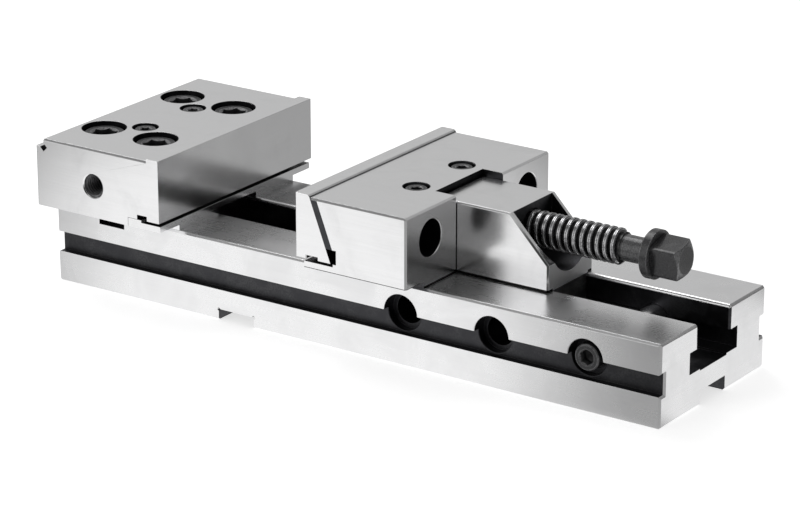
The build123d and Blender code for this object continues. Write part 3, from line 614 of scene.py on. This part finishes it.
def jaw_plate_faces(middle, normal):
    """The groove underneath and the threaded holes in the back."""
    x, y, z = middle.T
    side = np.abs(y)
    groove = within(z, 58.3, 60.4) & (side < 73.2) & within(x, -13.0, -5.3)
    round_face = np.abs(normal[:, 1]) + np.abs(normal[:, 2]) > 0.1
    holes = (np.hypot(side - DRAW_SCREW[0], z - DRAW_SCREW[1]) < 5.2) & round_face
    return groove | (holes & within(x, -13.4, 8.0))


def spindle_block_faces(middle, normal):
    """The pocket round the spindle, the bores and the screw holes underneath. The milled end gets the
    third material."""
    x, y, z = middle.T
    side = np.abs(y)
    milled = (normal[:, 0] > 0.9) & (x > 116.0)
    upper = normal[:, 2] > 0.5
    outer = upper | (side > 20.6) | (z < 56.0) | milled
    pocket = (x > POCKET_BACK - 0.1) & ((side < 20.35) | (z < 58.0)) & (z > 56.1)
    back = (np.abs(x - POCKET_BACK) < 0.2) & (side < 20.35)
    bore = (np.hypot(y, z - SPINDLE_HEIGHT) < 15.2) & (x < POCKET_BACK) & (z < 90.8)
    floor = (x > POCKET_BACK) & (side < 20.0) & within(z, 56.1, 62.0) & upper
    screws = (side < 5.2) & (z < 59.0) & (np.abs(normal[:, 2]) < 0.5)
    return np.where(milled, 2, ((pocket | back | bore) & ~outer) | floor | screws)


def no_faces(middle, normal):
    """No face gets painted shade."""
    return np.zeros(len(middle), bool)


# Operators, one for each piece or group


class VISE_OT_bed(Operator):
    """Finishes the bed: ground faces, and painted shade in the channel, grooves and holes"""

    bl_idname = "vise.bed"
    bl_label = "Bed"

    def execute(self, context):
        finish, sizes = choices(context)
        materials = [block_steel(finish, "slid_steel", 0.07, patch=0.48), hollow_shade_steel(finish)]
        finish_block("bed", "bed", "ground_steel", materials, bed_faces, sizes.edge_radius)
        return {"FINISHED"}


class VISE_OT_fixed_jaw(Operator):
    """Finishes the fixed jaw, its support rail, its key and the thread of the work stop hole"""

    bl_idname = "vise.fixed_jaw"
    bl_label = "Fixed jaw"

    # radius, depth of the thread and ends along Y of the work stop hole, in millimetres
    STOP_THREAD = (7.0, 1.05, -73.9, -51.2)

    def execute(self, context):
        finish, sizes = choices(context)
        materials = [block_steel(finish), bore_steel(finish)]
        for node, choose in (("fixed_jaw", fixed_jaw_faces), ("fixed_jaw_rail", no_faces)):
            finish_block(node, "bed", "ground_steel", materials, choose, sizes.edge_radius)
        dress("fixed_jaw_key", dark_steel("key_steel", finish.blackened_and_shade, finish.pin, 0.4))
        self.thread(finish, sizes)
        return {"FINISHED"}

    def thread(self, finish, sizes):
        """The thread of the work stop hole, a ring-shaped skin. Its inner wall is r = R - d c, where c
        is 1.4 (1 - |2 t - 1|) - 0.2 held between 0 and 1, and t is the share of a turn that the place
        along Y and the angle have passed. Its outer wall is plain and lies in the jaw's steel."""
        centre = np.array([STOP_HOLE[0], 0.0, STOP_HOLE[1]]) * MM
        bore, depth, first, last = (size * MM for size in self.STOP_THREAD)
        along = np.linspace(first, last, 150)[:, None]
        angle = np.linspace(0, TURN, 72, endpoint=False)[None, :]
        turn = np.mod(along / sizes.stop_pitch + angle / TURN, 1.0)
        crest = 1 - np.abs(2 * turn - 1)
        radius = bore - depth * np.clip(1.4 * crest - 0.2, 0, 1)
        inner = about("Y", centre, along, radius, angle)
        outer = about("Y", centre, along[[-1, 0]], bore + 0.05 * MM, angle)
        points = np.concatenate([inner, outer, inner[:1]])
        wear = np.concatenate([crest ** 3, np.zeros(outer.shape[:2]), crest[:1] ** 3])
        piece = shell("work_stop_thread", points, wear, 60.0)
        # the dark colour of this thread is painted shade inside the hole
        material = oxide_steel("stop_thread_steel", finish.blackened_and_shade, finish.pin, 0.35, 0.7)
        piece.data.materials.append(material)
        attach(piece, "bed")


class VISE_OT_moving_jaw(Operator):
    """Finishes the moving jaw, its slide strip and the wedge plate"""

    bl_idname = "vise.moving_jaw"
    bl_label = "Moving jaw"

    # height and distance from the middle of the strips with painted shade, in millimetres
    PAINTED_SHADE_FEET = ((53.3, 60.0), (50.0, 0.0))

    def execute(self, context):
        finish, sizes = choices(context)
        radius = sizes.edge_radius
        materials = [block_steel(finish, "moving_jaw_steel", feet=self.PAINTED_SHADE_FEET), hollow_shade_steel(finish)]
        strip = [dark_steel("slide_strip_steel", finish.slide, (0.2, 0.2, 0.205), 0.34, 0.3)]
        finish_block("moving_jaw", "moving_jaw", "ground_steel", materials, moving_jaw_faces,
                     0.3 * radius)
        finish_block("jaw_plate", "jaw_plate", "ground_steel", materials, jaw_plate_faces, radius)
        finish_block("jaw_slide_plate", "moving_jaw", "dark_slide_steel", strip, no_faces, 0.5 * radius)
        return {"FINISHED"}


class VISE_OT_spindle_block(Operator):
    """Finishes the sloped spindle block"""

    bl_idname = "vise.spindle_block"
    bl_label = "Spindle block"

    # height and distance from the middle of the strip with painted shade, in millimetres
    PAINTED_SHADE_FEET = ((50.4, 18.5),)

    def execute(self, context):
        finish, sizes = choices(context)
        materials = [block_steel(finish, "spindle_block_steel", feet=self.PAINTED_SHADE_FEET), hollow_shade_steel(finish),
                     block_steel(finish, "milled_steel", 0.30, feet=self.PAINTED_SHADE_FEET)]
        finish_block("spindle_block", "spindle_block", "ground_steel", materials,
                     spindle_block_faces, sizes.edge_radius)
        return {"FINISHED"}


class VISE_OT_cap_screws(Operator):
    """Makes all socket cap screws with knurled heads and hexagon sockets"""

    bl_idname = "vise.cap_screws"
    bl_label = "Cap screws"

    # name, body, axis, way the head looks, (shank, head height, socket width, socket depth) in
    # millimetres, and the turn of each screw in degrees
    ROWS = (
        ("anchor_screw", "bed", "Z", 1, (16.0, 16.0, 14.0, 8.8), (12, 24, 33, 5)),
        ("key_screw", "bed", "Z", 1, (8.0, 8.0, 6.0, 4.4), (20, 40)),
        ("guide_screw", "moving_jaw", "Z", 1, (8.0, 8.0, 6.0, 4.4), (8, 28)),
        ("draw_screw", "jaw_plate", "X", 1, (10.0, 10.0, 8.0, 5.5), (15, 35)),
        ("fork_screw", "moving_jaw", "X", 1, (5.0, 3.0, 3.0, 1.7), (0, 0)),
        ("foot_screw", "spindle_block", "Z", -1, (10.0, 10.0, 8.0, 5.5), (0, 0)),
    )

    def execute(self, context):
        finish, sizes = choices(context)
        material = oxide_steel("screw_black_oxide", finish.oxide, finish.oxide_worn, 0.36, 0.8)
        for name, body, axis, way, across, turns in self.ROWS:
            across = [size * MM for size in across]
            for number, turn in enumerate(turns, 1):
                node = f"{name}_{number}"
                piece = cap_screw(node, axis, way, *across, math.radians(turn), sizes)
                piece.data.materials.append(material)
                finish_piece(piece, body, "black_oxide", node)
        return {"FINISHED"}


class VISE_OT_stop_pin(Operator):
    """Makes the cross pin with its reduced ends and hexagon sockets"""

    bl_idname = "vise.stop_pin"
    bl_label = "Stop pin"

    # diameter and length of the reduced ends, width and depth of the sockets, in millimetres
    TAIL = (15.5, 8.6)
    SOCKET = (8.0, 6.0)

    def execute(self, context):
        finish = context.scene.vise_finishes
        low, high = (np.array(corner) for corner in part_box("stop_pin"))
        centre = (low + high) / 2
        end = high[1]
        rod = (high[0] - low[0]) / 2
        tail, shoulder = self.TAIL[0] / 2 * MM, end - self.TAIL[1] * MM
        width, floor = self.SOCKET[0] * MM, end - self.SOCKET[1] * MM
        angle = np.linspace(0, TURN, 96, endpoint=False)
        flat = hexagon(angle + math.radians(10), width)
        mouth = hexagon(0, width) + 0.35 * MM
        half = [
            (floor - 1.6 * MM, 0.0, 0.0),
            (floor, flat, 0.0),
            (end - (mouth - flat), flat, 0.4),
            (end, mouth, 0.5),
            (end, mouth + 0.3 * MM, 0.1),
            (end, tail - 1.1 * MM, 0.1),
            (end, tail - 0.8 * MM, 0.7),
            (end - 0.8 * MM, tail, 0.6),
            (end - 1.2 * MM, tail, 0.1),
            (shoulder + 0.3 * MM, tail, 0.1),
            (shoulder, tail + 0.1 * MM, 0.1),
            (shoulder, rod - 0.5 * MM, 0.4),
            (shoulder - 0.5 * MM, rod, 0.6),
            (22.0 * MM, rod, 0.0),
        ]
        along, radius, wear = stacked(half, angle)
        along = np.concatenate([along, -along[::-1]]) + centre[1]
        radius, wear = (np.concatenate([part, part[::-1]]) for part in (radius, wear))
        points = about("Y", centre, along, radius, angle[None, :])
        piece = shell("stop_pin_finished", points, wear, 28.0)
        mesh = piece.data
        lay_map(mesh)
        mesh.materials.append(ground_steel("pin_rod_steel", finish.steel, finish.pin, 0.16))
        dark = oxide_steel("pin_end_steel", finish.oxide, finish.oxide_worn, 0.38, 0.8)
        mesh.materials.append(dark)
        ends = np.abs(read(mesh.polygons, "center")[:, 1]) > 40.0 * MM
        mesh.polygons.foreach_set("material_index", ends.astype(np.int32))
        finish_piece(piece, "bed", "pin_steel", "stop_pin")
        return {"FINISHED"}


class VISE_OT_spindle(Operator):
    """Makes the spindle: grooved tip, helical thread, neck, collar and square"""

    bl_idname = "vise.spindle"
    bl_label = "Spindle"

    # all in millimetres: start, radius and bevel of the tip, ends and radius of its groove, ends and
    # radius of the thread, radius of the neck, and ends, radius and bevel of the collar
    TIP = (21.1, 8.0, 1.5)
    GROOVE = (34.8, 41.8, 6.0)
    THREAD = (41.8, 152.4, 10.4)
    NECK = 7.6
    COLLAR = (168.2, 173.4, 14.1, 0.5)
    # width, turn in degrees, radius at the end and radius over the corners of the square, and the
    # slope of its end
    SQUARE = (18.0, 12.9, 8.0, 12.4)
    BEVEL = math.tan(math.radians(25))

    def execute(self, context):
        finish, sizes = choices(context)
        low, high = (np.array(corner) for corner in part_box("spindle"))
        centre = (low + high) / 2
        columns = 8 * round(sizes.around / 8)
        start = math.radians(self.SQUARE[1])
        angle = start + np.linspace(0, TURN, columns, endpoint=False)
        places, faces, wear, count = [], [], [], 0
        for points, worn, wrap in (self.front(angle, centre), self.thread(angle, centre, sizes),
                                   self.rear(angle, centre, high[0])):
            rings, across = points.shape[:2]
            index = np.arange(rings * across).reshape(rings, across)
            after = np.roll(index, -1, axis=1)
            if wrap:
                after[:, -1] = np.clip(index[:, 0] + wrap * across, 0, index[-1, 0])
            places.append(points.reshape(-1, 3))
            wear.append(worn.ravel())
            faces.append(quads(index, after) + count)
            count += rings * across
        places, faces, wear = (np.concatenate(part) for part in (places, faces, wear))
        piece = skin("spindle_finished", places, faces, wear, 30.0)
        material = oxide_steel("spindle_black_oxide", finish.oxide, finish.oxide_worn, 0.22, 1.0)
        piece.data.materials.append(material)
        finish_piece(piece, "spindle", "black_oxide", "spindle")
        return {"FINISHED"}

    def front(self, angle, centre):
        """The tip and its groove: plain rings of one radius each."""
        end, radius, bevel = self.TIP
        first, last, groove = self.GROOVE
        rings = [
            (end, 0.0, 0.0), (end, radius - bevel, 0.3), (end + bevel, radius, 0.4),
            (first, radius, 0.3), (first, groove, 0.0), (last, groove, 0.0), (last, self.NECK, 0.0),
        ]
        along, radii, worn = stacked(rings, angle)
        return about("X", centre, along * MM, radii * MM, angle[None, :]), worn, 0

    def thread(self, angle, centre, sizes):
        """The helical thread. A ring runs once round and ends one pitch further along, so column 0 of
        the ring one pitch on is its neighbour. Over a flank the radius falls from that of the crest
        by the depth times s s (3 - 2 s), where s goes from 0 to 1. Both ends are held inside cones of
        45 degrees, so that the thread runs out there."""
        first, last, top = (size * MM for size in self.THREAD)
        pitch, crest, run = sizes.thread_pitch, sizes.crest_width / 2, sizes.flank_run
        flank = np.linspace(0, 1, 7)
        half = np.concatenate([
            [0.0, 0.55 * crest, 0.85 * crest], crest + run * flank,
            [(crest + run + pitch / 2) / 2],
        ])
        steps = np.concatenate([half, [pitch / 2], pitch - half[:0:-1]]) / pitch
        turns = np.arange(-1, math.ceil((last - first) / pitch) + 1)
        row = (turns[:, None] + steps[None, :]).ravel()
        passed = (angle - angle[0])[None, :] / TURN
        along = first + (row[:, None] + passed) * pitch
        away = np.abs(np.mod(row + 0.5, 1.0) - 0.5)[:, None] * pitch
        fall = np.clip((away - crest) / run, 0, 1)
        fall = fall * fall * (3 - 2 * fall)
        held = np.clip(along, first, last)
        runout = self.NECK * MM + np.minimum(held - first, last - held)
        radius = np.minimum(top - sizes.thread_depth * fall, runout)
        worn = 1.6 * np.exp(-(((away - crest) / (0.55 * MM)) ** 2)) * (radius > top - 1.2 * MM)
        return about("X", centre, held, radius, angle[None, :]), worn, len(steps)

    def rear(self, angle, centre, end):
        """Neck, collar and square. The square's distance from the middle is half its width over the
        larger of |cos| and |sin| of the angle from a flat, held inside the turned corners, and its
        end follows a cone."""
        start = self.THREAD[1]
        first, last, collar, bevel = self.COLLAR
        width, turn, face, corner = self.SQUARE
        turned = angle - math.radians(turn)
        side = width / 2 / np.maximum(np.abs(np.cos(turned)), np.abs(np.sin(turned)))
        side = np.minimum(side, corner)
        end = end / MM
        tail = end - (side - face) * self.BEVEL
        rings = [(start, self.NECK, 0.1)]
        for number, x in enumerate(np.arange(start + 1.0, first - 0.6, 0.5)):
            odd = number % 2
            rings.append((x, self.NECK - 0.05 * odd, 0.15 + 0.2 * odd))
        rings += [
            (first, self.NECK, 0.1),
            (first, collar - bevel, 0.5),
            (first + bevel, collar, 0.6),
            (first + bevel + 0.3, collar, 0.1),
            (last - 0.5, collar, 0.1),
            (last - 0.2, collar, 0.5),
            (last, collar - 0.2, 0.4),
            (last, side + 0.2, 0.0),
            (last + 0.2, side, 0.1),
            (tail - 0.35, side, 0.1),
            (tail, side, 0.5),
            (end, face, 0.5),
            (end, face - 0.4, 0.1),
            (end, 0.0, 0.05),
        ]
        along, radius, worn = stacked(rings, angle)
        return about("X", centre, along * MM, radius * MM, angle[None, :]), worn, 0


class VISE_OT_hidden_guides(Operator):
    """Finishes the hidden pieces: guide, foot, fork, nut and disc springs"""

    bl_idname = "vise.hidden_guides"
    bl_label = "Guides, fork, nut and springs"

    def execute(self, context):
        finish = context.scene.vise_finishes
        guide = dark_steel("guide_steel", (0.22, 0.22, 0.225), finish.pin, 0.36, 0.5)
        spring = dark_steel("disc_spring_steel", finish.spring, finish.pin, 0.36)
        dress("jaw_guide", guide)
        dress("block_foot", guide)
        dress("spindle_fork", dark_steel("fork_steel", finish.oxide, finish.oxide_worn, 0.38))
        dress("spindle_nut", dark_steel("nut_bronze", finish.bronze, (0.7, 0.55, 0.35), 0.34))
        dress("draw_spring_1", spring)
        dress("draw_spring_2", spring)
        return {"FINISHED"}


class VISE_OT_stage(Operator):
    """Makes the floor, the camera, the lamp and the studio round them"""

    bl_idname = "vise.stage"
    bl_label = "Stage"

    # place and side of the lamp in metres, and what it looks at
    LAMP = (-1.02, 0.48, 1.54)
    LAMP_SIDE = 1.1
    LAMP_AIM = (0.0, 0.0, 0.05)

    # brightness of the floor for the camera, of its painted glow seen in reflections, and of the studio
    SEEN_FLOOR = 0.68
    PAINTED_REFLECTED_FLOOR = 0.35
    STUDIO = 0.42
    DARKEST = 0.02

    # painted pools of light and shadow on the floor, seen only in reflections: centre and radii in
    # metres, share of the radii that is full, lean, brightness
    PAINTED_POOLS = (
        ((0.005, -0.170), (0.245, 0.420), 0.48, 0.69, 0.96),
        ((0.212, 0.060), (0.130, 0.130), 0.70, 0.69, 0.84),
        ((0.050, 0.235), (0.090, 0.100), 0.30, 0.69, 0.63),
        ((0.165, -0.215), (0.064, 0.064), 0.55, 0.00, 0.02),
    )

    # softly bounded cards of the studio: aim, cosine where it ends, cosine where it is full, strength
    CARDS = (
        ((-0.536, 0.775, 0.336), 0.70, 0.93, 0.09),
        ((0.536, 0.775, 0.290), 0.72, 0.92, -0.37),
        ((0.35, 0.77, 0.53), 0.975, 0.992, 0.35),
        ((0.54, -0.77, 0.34), 0.75, 0.92, -0.38),
        ((-0.54, -0.77, 0.34), 0.84, 0.95, 0.55),
        ((-0.54, -0.34, 0.77), 0.88, 0.97, -0.22),
    )

    def execute(self, context):
        stage = context.scene.vise_stage
        self.floor(stage)
        self.camera(context, stage)
        self.lamp(stage)
        self.studio(context)
        context.scene.view_settings.view_transform = "Standard"
        return {"FINISHED"}

    def floor(self, stage):
        """A plain pale floor. The camera sees it white with a faint shadow, and reflections see a glow
        with painted pools of light and shadow."""
        half = stage.floor_size / 2
        side = np.linspace(-half, half, 15)
        x, y = np.meshgrid(side, side)
        places = np.stack([x, y, 0 * x], axis=-1).reshape(-1, 3)
        index = np.arange(x.size).reshape(x.shape)
        faces = quads(index[:, :-1], index[:, 1:])
        mesh = bpy.data.meshes.new("floor")
        mesh.from_pydata(places.tolist(), [], faces.tolist())
        made, tree = new_material("floor_white")
        path = add_node(tree, "ShaderNodeLightPath").outputs
        seen = maths(tree, "MULTIPLY", path["Is Camera Ray"], self.SEEN_FLOOR)
        shown = maths(tree, "MAXIMUM", path["Is Glossy Ray"], path["Is Transmission Ray"])
        # glossy and transmission rays see only a painted glow, its pools painted light and shadow
        glow = maths(tree, "MAXIMUM", seen, maths(tree, "MULTIPLY", shown, self.painted_pools(tree)))
        base = blend(tree, shown, (*stage.floor, 1.0), (0.0, 0.0, 0.0, 1.0))
        surface(tree, {"Base Color": base, "Roughness": 0.9, "Specular IOR Level": 0.1,
                       "Emission Color": (1.0, 1.0, 1.0, 1.0), "Emission Strength": glow})
        mesh.materials.append(made)
        piece = placed("floor", mesh)

    def painted_pools(self, tree):
        """Painted brightness of the floor, seen only in reflections: a middle grey with soft ellipses of
        painted light and painted shadow. A pool's first coordinate is x less its lean times y, so that a
        leaning pool follows the line of sight."""
        point = add_node(tree, "ShaderNodeTexCoord").outputs["Object"]
        total = self.PAINTED_REFLECTED_FLOOR
        for centre, radii, full, lean, bright in self.PAINTED_POOLS:
            along = add_node(tree, "ShaderNodeVectorMath", {0: point, 1: (1.0, -lean, 0.0)},
                             operation="DOT_PRODUCT").outputs["Value"]
            depth = add_node(tree, "ShaderNodeSeparateXYZ", {0: point}).outputs[1]
            along, depth = (
                maths(tree, "DIVIDE", maths(tree, "SUBTRACT", part, middle), radius)
                for part, middle, radius in zip((along, depth), centre, radii)
            )
            away = add_node(tree, "ShaderNodeCombineXYZ", {0: along, 1: depth}).outputs[0]
            away = add_node(tree, "ShaderNodeVectorMath", {0: away}, operation="LENGTH")
            mask = spread(tree, away.outputs["Value"], full, 1.0, 1.0, 0.0)
            total = add_node(tree, "ShaderNodeMix", {0: mask, 2: total, 3: bright},
                             data_type="FLOAT").outputs[0]
        return total

    def camera(self, context, stage):
        """The camera, turned by its heading, elevation and roll."""
        data = bpy.data.cameras.new("camera")
        data.lens = stage.lens
        data.sensor_width = 36.0
        data.clip_start, data.clip_end = 0.01, 100.0
        data.dof.use_dof = False
        piece = placed("camera", data)
        turn = Matrix.Rotation(stage.heading, 4, "Z")
        turn = turn @ Matrix.Rotation(math.pi / 2 - stage.elevation, 4, "X")
        turn = turn @ Matrix.Rotation(stage.roll, 4, "Z")
        piece.matrix_world = Matrix.Translation(stage.camera) @ turn
        context.scene.camera = piece

    def lamp(self, stage):
        """One square lamp that looks at the middle of the vise."""
        data = bpy.data.lights.new("key_lamp", "AREA")
        data.shape, data.size, data.energy = "SQUARE", self.LAMP_SIDE, stage.key
        piece = placed("key_lamp", data)
        aim = Vector(self.LAMP_AIM) - Vector(self.LAMP)
        turn = aim.to_track_quat("-Z", "Y").to_matrix().to_4x4()
        piece.matrix_world = Matrix.Translation(self.LAMP) @ turn

    def studio(self, context):
        """The studio round the stage: a soft grey with lighter and darker cards. The camera itself
        sees plain white."""
        world = bpy.data.worlds.new("studio")
        world.use_nodes = True
        tree = world.node_tree
        tree.nodes.clear()
        aim = add_node(tree, "ShaderNodeTexCoord").outputs["Generated"]
        total = self.STUDIO
        for middle, edge, core, strength in self.CARDS:
            size = math.sqrt(sum(part * part for part in middle))
            card = tuple(part / size for part in middle)
            facing = add_node(tree, "ShaderNodeVectorMath", {0: aim, 1: card},
                              operation="DOT_PRODUCT").outputs["Value"]
            total = maths(tree, "ADD", total, spread(tree, facing, edge, core, 0.0, strength))
        total = maths(tree, "MAXIMUM", total, self.DARKEST)
        camera_ray = add_node(tree, "ShaderNodeLightPath").outputs["Is Camera Ray"]
        plain = add_node(tree, "ShaderNodeBackground", {"Color": (1.0, 1.0, 1.0, 1.0)}).outputs[0]
        lit = add_node(tree, "ShaderNodeBackground", {"Color": total}).outputs[0]
        both = add_node(tree, "ShaderNodeMixShader", {0: camera_ray, 1: lit, 2: plain})
        add_node(tree, "ShaderNodeOutputWorld", {"Surface": both.outputs[0]})
        context.scene.world = world


MAKERS = (
    VISE_OT_bed,
    VISE_OT_fixed_jaw,
    VISE_OT_moving_jaw,
    VISE_OT_spindle_block,
    VISE_OT_cap_screws,
    VISE_OT_stop_pin,
    VISE_OT_spindle,
    VISE_OT_hidden_guides,
    VISE_OT_stage,
)


class VISE_PT_panel(Panel):
    """Lists what makes and finishes the vise"""

    bl_idname = "VISE_PT_panel"
    bl_label = "Machine vise"
    bl_space_type = "VIEW_3D"
    bl_region_type = "UI"
    bl_category = "Vise"

    def draw(self, context):
        layout = self.layout
        for maker in MAKERS:
            layout.operator(maker.bl_idname)
        for group in (*choices(context), context.scene.vise_stage):
            box = layout.box()
            for key in group.__annotations__:
                box.prop(group, key)


CLASSES = (ViseFinishes, ViseSizes, ViseStage, *MAKERS, VISE_PT_panel)


def register():
    for made in CLASSES:
        bpy.utils.register_class(made)
    bpy.types.Scene.vise_finishes = PointerProperty(type=ViseFinishes)
    bpy.types.Scene.vise_sizes = PointerProperty(type=ViseSizes)
    bpy.types.Scene.vise_stage = PointerProperty(type=ViseStage)


def unregister():
    del bpy.types.Scene.vise_stage, bpy.types.Scene.vise_sizes, bpy.types.Scene.vise_finishes
    for made in reversed(CLASSES):
        bpy.utils.unregister_class(made)


def main():
    """Makes every piece in order."""
    register()
    bpy.ops.vise.bed()
    bpy.ops.vise.fixed_jaw()
    bpy.ops.vise.moving_jaw()
    bpy.ops.vise.spindle_block()
    bpy.ops.vise.cap_screws()
    bpy.ops.vise.stop_pin()
    bpy.ops.vise.spindle()
    bpy.ops.vise.hidden_guides()
    bpy.ops.vise.stage()
    bpy.context.view_layer.update()


if __name__ == "__main__":
    main()
